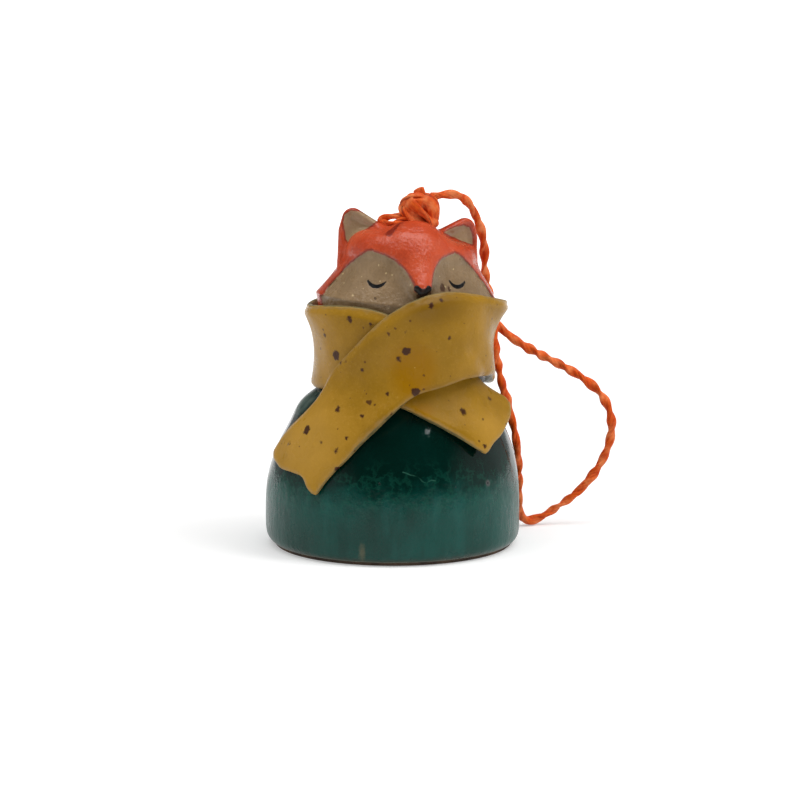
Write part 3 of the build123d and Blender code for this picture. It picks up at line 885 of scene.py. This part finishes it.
def strip(stations, rows, seed, torn, notches, creases=()):
    """A slab of clay draped through its stations: points, faces and distance from the edge."""
    tops, bottoms, lifts = (np.array(part, float) for part in zip(*stations))
    upper, lower = drape(*tops.T), drape(*bottoms.T)
    middle = drape(*((tops + bottoms) / 2).T[:2], lifts)
    across = unit(upper - lower)
    centre = (upper + lower) / 2
    out = np.stack([centre[:, 0] - core_axis(centre[:, 2]), centre[:, 1], 0 * lifts], -1)
    out = square_to(out, across)
    crest = centre + out * ((middle - centre) * out).sum(-1)[:, None]

    # Sections along the strip
    places = distances(crest)
    at = np.linspace(0, places[-1], rows)
    to_end = at[-1] - at
    sections = spline(places, np.concatenate([upper, lower, crest, out], axis=1), at)
    upper, lower, crest, out = sections.reshape(rows, 4, 3).transpose(1, 0, 2)
    across = unit(upper - lower)
    out = square_to(out, across)
    upper = upper + across * (0.18 * line_waves(at, 9, seed))[:, None]
    lower = lower + across * (0.22 * line_waves(at, 7, seed + 1))[:, None]

    # Each section: share of the width, share of the thickness and bulge of the round edge
    flat = np.linspace(0, 1, 34)
    bend = np.linspace(-math.pi / 2, math.pi / 2, 11)[1:-1]
    section = [(t, 0.0, 0.0) for t in flat]
    section += [(1.0, 0.5 + 0.5 * math.sin(a), math.cos(a)) for a in bend]
    section += [(t, 1.0, 0.0) for t in flat[::-1]]
    section += [(0.0, 0.5 - 0.5 * math.sin(a), -math.cos(a)) for a in bend]
    share, outer, bulge = np.array(section).T
    count = len(section)
    base = through(lower[:, None], crest[:, None], upper[:, None], share[:, None])
    width = np.linalg.norm(upper - lower, axis=1)[:, None]
    low_rim, high_rim = share * width, (1 - share) * width
    thin = 1 - 0.22 * np.exp(-(low_rim / 0.4) ** 2) - 0.5 * np.exp(-(high_rim / 0.9) ** 2)
    thin = thin * (1 - 0.5 * np.clip(1 - to_end / 26, 0, 1) ** 0.8)[:, None]
    points = base + out[:, None] * (scarf_thickness * outer * thin)[..., None]
    points += across[:, None] * (0.3 * bulge)[:, None]
    lumps = outer * (0.13 * waves(points, 10, seed + 2) + 0.05 * waves(points, 4, seed + 3))
    points += out[:, None] * lumps[..., None]
    for place, spread, push in creases:
        points += out[:, None] * (push * blob(points, place, spread))[..., None]

    # Torn end, closed by rows that draw in to its middle
    way = unit(np.gradient(crest, axis=0))[-1]
    ragged = torn * line_waves(share * width[-1], 3.2, seed + 4)
    for place, spread, reach in notches:
        ragged = ragged + reach * np.exp(-((share - place) / spread) ** 2)
    shift = np.exp(-to_end / 3.0)[:, None, None] * (way * ragged[:, None])
    points, base = points + shift, base + shift
    core = base[-1] + 0.5 * scarf_thickness * thin[-1][:, None] * out[-1]
    ends = [
        core + (points[-1] - core) * (1 - closing) + way * reach
        for closing, reach in ((0.06, 0.45), (0.2, 0.75), (0.5, 0.95), (0.95, 1.0))
    ]
    points = np.concatenate([points, ends])
    faces = grid_faces(len(points), count, close_columns=True)
    first = (len(points) - 1) * count
    last = count - len(bend) - 1
    for k in range((last - 1) // 2):
        faces.append((first + k, first + k + 1, first + last - k - 1, first + last - k))
    faces.append(tuple(range(count))[::-1])
    edge = np.minimum(np.minimum(low_rim, high_rim), to_end[:, None] + 0.2)
    edge = np.concatenate([np.where(outer > 0.9, edge, -0.5), np.zeros((len(ends), count))])
    return points.reshape(-1, 3), faces, edge.ravel()


# Stations: bearing, height and lift of the upper edge, the same of the lower edge, and lift of the middle
crossing = 3.4
collar = [(180 - 0.34, 0.2), (152, 0.4), (124, 0.8), (96, 1.2)]
over = [((bearing, 17.4, flare), (bearing, -0.3, 1.9 + flare), 0.3) for bearing, flare in collar] + [
    ((66, 18.4, 1.7), (78, 1.7, 3), 0.9),
    ((34, 21, 1.4), (60, 2.8, crossing + 0.4), 2.4),
    ((9, 21.2, 2.4), (32, 3.4, crossing + 1.2), crossing + 0.3),
    ((-10, 19.3, crossing), (12, 1.8, crossing + 1.6), crossing + 0.6),
    ((-25, 15.3, crossing), (-2, -0.4, crossing + 1.1), crossing + 0.4),
    ((-42, 8.6, crossing), (-13, -3.4, crossing + 0.6), crossing + 0.5),
    ((-58, 3.4, crossing + 0.1), (-20, -6.8, 1.8), 2.9),
    ((-67, -1.6, 1.9), (-26, -9.5, 0.8), 1.9),
    ((-72, -5.6, 1.2), (-31.5, -12, 0.6), 1.2),
    ((-80, -9.2, 1), (-37, -15.4, 0.5), 0.9),
    ((-85.5, -13, 1), (-44, -20.2, 0.5), 0.8),
]
under = [((-bearing, 17.4, flare), (-bearing, -0.3, 1.9 - flare), 0.1) for bearing, flare in collar] + [
    ((-66, 18.4, 1.7), (-70, 0.2, 0.4), 0.1),
    ((-36, 17.9, 0.8), (-47, 0, 0.5), 0.4),
    ((-17, 15.9, 0.5), (-30, -0.8, 0.6), 0.6),
    ((3, 12.9, 0.5), (-14, -2.2, 0.6), 0.9),
    ((22, 8.6, 0.5), (-1, -4, 0.6), 1.4),
    ((40, 4.8, 0.6), (11, -6, 0.6), 1.4),
    ((53, 3.1, 1.8), (20, -8.3, 0.9), 1.3),
    ((64, 0.1, 3.3), (27, -10, 1.2), 1.6),
    ((70, -2.7, 4.1), (33, -11.8, 1.6), 2.2),
]
blots = [
    (-15.3, -11, 43.2, 1.1), (-11.9, -14.8, 51.6, 0.7), (-16.3, -8.2, 47.4, 0.45), (-7.8, -17.1, 50.7, 0.4),
    (-14, -13.9, 42.1, 0.35), (-1.1, -22.2, 45.5, 0.9), (-2.6, -21.8, 43.8, 0.55), (0.9, -22.6, 36.8, 0.9),
    (8.3, -21.7, 48.1, 0.45), (4.3, -22.3, 55.1, 0.6), (6.8, -21.5, 56.1, 0.5), (12.5, -21.1, 31.9, 0.75),
    (-21.7, -14.2, 27.8, 0.95), (-15.7, -18.3, 32.7, 0.6), (-10.9, -22.4, 31.8, 0.5),
    (-16.3, -21.8, 24.5, 0.5), (-16.5, -22.9, 20.6, 0.65), (-19.2, -18.9, 25.8, 0.35),
    (-9.8, -18.3, 41.1, 0.35), (-25.1, -10.7, 24.3, 0.35), (16.3, -22.7, 24.7, 0.5),
    (-14.2, -22.4, 27.2, 0.35), (-5.1, -22.3, 36.5, 0.35), (-1.2, -22.3, 49.7, 0.3),
]


def scarf_fields(points, edge):
    """Paint on the scarf: distance inside the blots, soft spots of deep glaze, a soft spot of painted shade
    under the chin that is partly thicker glaze, and soft spots of painted sunlight on the tails.
    """
    blot = np.full(len(points), -far)
    for x, y, z, r in blots:
        off = points - (x, y, z)
        inward = (off[:, 0] * x + off[:, 1] * y) / math.hypot(x, y)
        blot = np.maximum(blot, r - np.sqrt(np.maximum((off ** 2).sum(1) - 0.97 * inward ** 2, 0)))
    crossing_pool = blob(points, (0.8, -24, 41), (6, 12, 7.5))
    edge_pool = blob(points, (2.6, -25, 33), (3.6, 9, 2.6))
    shade = blob(points, (5.5, -22, 55), (10, 9, 5.5))
    low_tail = blob(points, (-21, -15, 25), (9, 10, 9))
    short_tail = blob(points, (17, -20, 28), (7, 10, 6))
    return {
        "edge": edge, "blot": blot, "pool": np.maximum(crossing_pool, 0.9 * edge_pool), "shade": shade,
        "sun": np.maximum(low_tail, 0.6 * short_tail),
    }


# Notches in the torn ends (share of the width, spread and reach) and creases (place, spread and push)
over_notches = [(0.24, 0.13, -1.9), (0.42, 0.12, -1), (0.62, 0.1, 0.2), (0.98, 0.12, -0.4)]
under_notches = [(0.68, 0.26, 1)]
over_creases = [
    ((13.5, -18, 44.1), 1.7, -0.3), ((15.4, -16.3, 41.9), 1.7, -0.45), ((16.9, -14.5, 39.7), 1.7, -0.5),
    ((12.4, -18.3, 41.8), 2.2, 0.35), ((14.2, -16.8, 39.2), 2.2, 0.45),
]
points, faces, edge = strip(over, 300, 71, 0.22, over_notches, over_creases)
make_piece("scarf_over_strip", "scarf_over", points, faces, mustard, fields=scarf_fields(points, edge))
points, faces, edge = strip(under, 270, 91, 0.15, under_notches)
faces = [face[::-1] for face in faces]
make_piece("scarf_under_strip", "scarf_under", points, faces, mustard, fields=scarf_fields(points, edge))

# Knot on the crown: each turn has its steps to the right, towards the viewer and up, its width and its depth
bearing = math.radians(camera_bearing)
knot_axes = np.array([
    (math.cos(bearing), math.sin(bearing), 0), (math.sin(bearing), -math.cos(bearing), 0), (0, 0, 1),
])
knot_turns = [
    ([(-1.2, -1.4, 3), (-2.5, 0.6, 2.8), (-1.9, 2.5, 1.7), (0.2, 3.2, 0.1), (2.1, 2.8, -1.5), (3.1, 1, -2.9),
      (2.5, -1.2, -3.1)], 2.7, 1.3),
    ([(-3.1, -1.2, 1.4), (-3.6, 0.7, 0.6), (-2.9, 2.2, -0.5), (-1.1, 2.8, -1.7), (0.6, 2.3, -3),
      (1.1, 0.5, -3.8)], 2.5, 1.25),
    ([(0.2, 1.5, 2.9), (1.9, 2, 2.6), (3.3, 1.6, 1.3), (3.6, 1.1, -0.5), (3.1, 0.6, -2.3),
      (2, -0.1, -3.4)], 2.6, 1.3),
    ([(-3.2, 0.1, 0.4), (-3, 1, 2), (-1.6, 1.4, 3.1), (0.3, 1, 3.4), (1.9, -0.6, 2.7)], 2.4, 1.3),
    ([(-3.2, -0.9, 0.8), (-2.8, -2.4, 1.5), (-0.6, -3.1, 1.4), (1.9, -2.6, 0.6),
      (3.2, -0.9, -0.6)], 2.8, 1.4),
    ([(3, -1.2, -2.4), (0.6, -2.7, -2.6), (-1.9, -2, -2.2), (-2.9, -0.2, -1.8),
      (-2.2, 1.5, -2.6)], 2.8, 1.4),
]
stub_steps = [(1.4, 0.6, 2.2), (0.4, 0.7, 3.4), (-0.1, 0.6, 4.6), (-0.3, 0.5, 5.1)]
inner_steps = [(0.8, 1.6, 2.4), (1.7, 2.1, 1.2), (2.2, 2.1, -0.2), (2.3, 1.5, -1.6)]
tail_steps = [
    (-2.4, 1.6, -0.4), (-4.6, 1.5, -0.9), (-7.2, 1.2, -1.3), (-8.3, 1.3, -1.9), (-7.4, 2, -2.5),
    (-5, 2.6, -2.2), (-2, 2.6, -1.6),
]


def knot_path(steps, count):
    return along_curve(knot_centre + np.array(steps) @ knot_axes, count)


turns = []
for k, (steps, width, depth) in enumerate(knot_turns):
    path = knot_path(steps, 46)
    side = np.cross(path[0] - knot_centre, path[1] - path[0])
    turns.append(strand(path, width, depth, 26.0, 110 + k, side, around=22))
turns.append(strand(knot_path(stub_steps, 46), 2.7, 1.2, 90.0, 116, knot_axes[0], around=22))
stem_steps = [knot_centre + (0, 0, 1.5), knot_centre + (-0.1, 0, -1.5)]
stem_steps += [from_head(crown_hole_offset, 0, up) for up in (33.0, 31.2)]
turns.append(strand(along_curve(stem_steps, 40), 3.4, 3.2, 12.0, 131, around=24))
core_steps = [(0, 0, -2.6), (0, 0, 0), (0, 0, 3.1)]
turns.append(strand(knot_path(core_steps, 30), 6.3, 5.8, 30.0, 133, around=28))
turns.append(strand(knot_path(inner_steps, 40), 2.4, 1.2, 26.0, 137, around=22))
points, faces, uv, creases_and_shade = bundle(turns)
# Painted shade, darker towards the middle of the knot
depth = np.clip((3.9 - np.linalg.norm(points - knot_centre, axis=1)) / 1.3, 0, 1)
creases_and_shade = np.where(points[:, 2] > knot_centre[2] - 4.5, np.maximum(creases_and_shade, depth), creases_and_shade)
knot = cord_piece("top_knot_turns", "top_knot", (points, faces, uv, creases_and_shade))
bight = strand(knot_path(tail_steps, 90), 1.65, 1.0, cord_twist, 141, around=18)
bight = cord_piece("cord_tail_bight", "cord_tail", bight)

# Clapper inside the bell: two knots, a cord and a bead below the pivot
pivot = np.array((4.901, 0.0, 62.244))
cord_top, cord_foot, clapper_knot_height = 59.15, 5.6, 5.4
bead_height, bead_radius, bead_spokes = 13.0, 6.0, 72


def tied(centre, size, seed):
    """A small overhand knot of three turns."""
    spin = np.linspace(0, full_turn, 50)
    turns = []
    for k, lift in enumerate((-0.55, 0.05, 0.6)):
        ring = np.stack([0.62 * np.cos(spin), 0.62 * np.sin(spin), lift + 0.22 * np.sin(spin + 2 * k)], -1)
        turns.append(strand(centre + size * ring, 0.72 * size, 0.66 * size, 20.0, seed + k, around=18))
    core = np.linspace((0, 0, -0.8), (0, 0, 0.8), 16)
    turns.append(strand(centre + size * core, 1.1 * size, 1.1 * size, 20.0, seed + 5, around=18))
    return bundle(turns)


cord_piece("stopper_knot_turns", "stopper_knot", tied(pivot, 2.75, 151), "stopper")
clapper_knot = tied(np.array((pivot[0], 0, clapper_knot_height)), 1.75, 161)
cord_piece("clapper_knot_turns", "clapper_knot", clapper_knot, "clapper")
hang = np.linspace((pivot[0], 0, cord_top), (pivot[0], 0, cord_foot), 170)
clapper_cord = strand(hang, 1.7, 1.25, cord_twist, 171, (1, 0, 0))
cord_piece("clapper_cord_strand", "clapper_cord", clapper_cord, "clapper")
bead_lip = [(1.28, 5.5), (1.5, 5.72), (2.0, 5.66)]
arc = np.linspace(0.42, math.pi - 0.42, 40)
bead_ball = [(bead_radius * math.sin(a), bead_radius * math.cos(a)) for a in arc]
outline = np.array(bead_lip + bead_ball + [(r, -z) for r, z in bead_lip[::-1]])
spin = np.arange(bead_spokes) / bead_spokes * full_turn
radius, level = (np.repeat(column[:, None], bead_spokes, axis=1) for column in outline.T)
points = np.stack([radius * np.cos(spin), radius * np.sin(spin), level], -1)
bulge = np.clip(radius / bead_radius, 0, 1)
points = points * (1 - 0.012 * bulge * (1 + waves(points, 5, 181)))[..., None] + (pivot[0], 0, bead_height)
faces = grid_faces(len(outline), bead_spokes, close_rows=True, close_columns=True)
make_piece("clapper_bead_clay", "clapper_bead", points.reshape(-1, 3), faces, clay, "clapper")

# Floor: white to the camera and to gloss, and dimmer near the object
white = (1, 1, 1, 1)
bpy.ops.mesh.primitive_plane_add(size=80, location=(0, 0, -0.00004))
floor = bpy.context.object
floor.name = "floor"
ground = Look("floor")
fade = ground.ramp(ground.vector("LENGTH", ground.place)["Value"], 100, 900, 0.32, 1.0, "LINEAR")
rays = ground.add("LightPath").outputs
shown = ground.maths("MAXIMUM", rays["Is Camera Ray"], rays["Is Glossy Ray"])
shown = ground.maths("MAXIMUM", shown, rays["Is Transmission Ray"])
ground.set(Base_Color=(0.8, 0.8, 0.8, 1), Roughness=0.9, Specular_IOR_Level=0.1)
ground.set(Emission_Color=white, Emission_Strength=ground.times(fade, shown))
floor.data.materials.append(ground.material)

# World: plain to the camera, and a pale horizon with two pale walls beside the object to gloss
world = bpy.data.worlds.new("studio")
bpy.context.scene.world = world
world.use_nodes = True
studio = Nodes(world.node_tree)
sky = studio.tree.nodes["Background"].inputs
way = studio.add("TexCoord").outputs["Generated"]
way = studio.add("SeparateXYZ", {0: way}).outputs
horizon = studio.ramp(way[2], 0.11, 0.2, 0.44, 0.04, "LINEAR")
walls = studio.ramp(studio.away(way[0], 0.0), 0.6, 0.95, 0.0, 0.6, "LINEAR")
walls = studio.times(walls, studio.ramp(way[2], 0.3, 0.75, 1.0, 0.0, "LINEAR"))
mirrored = studio.maths("MAXIMUM", horizon, walls)
rays = studio.add("LightPath").outputs
strength = 0.36
for ray, seen in (("Is Glossy Ray", mirrored), ("Is Transmission Ray", mirrored), ("Is Camera Ray", 1.0)):
    strength = studio.add("Mix", {0: rays[ray], 2: strength, 3: seen}).outputs[0]
studio.put(sky["Color"], white)
studio.put(sky["Strength"], strength)

# Lamps: bearing, rise, distance, size, power and whether gloss mirrors them
lamps = {
    "glint": (36, 46, 0.8, (0.014, 0.014), 0.07, True),
    "key": (62, 50, 0.8, (0.35, 0.35), 2.0, False),
    "front_high": (-10, 84, 0.9, (1.0, 0.45), 4.4, True),
    "side_left": (-104, 24, 1.0, (0.9, 0.7), 1.6, False),
    "side_right": (112, 24, 1.0, (0.7, 0.6), 0.8, False),
}
for name, (bearing, rise, distance, size, power, mirrored) in lamps.items():
    data = bpy.data.lights.new(name, "AREA")
    data.shape = "RECTANGLE"
    data.size, data.size_y = size
    data.energy = power
    lamp = stand(name, data, Vector((0, 0, 0.035)), bearing, rise, distance)
    lamp.visible_glossy = mirrored

bpy.context.view_layer.update()
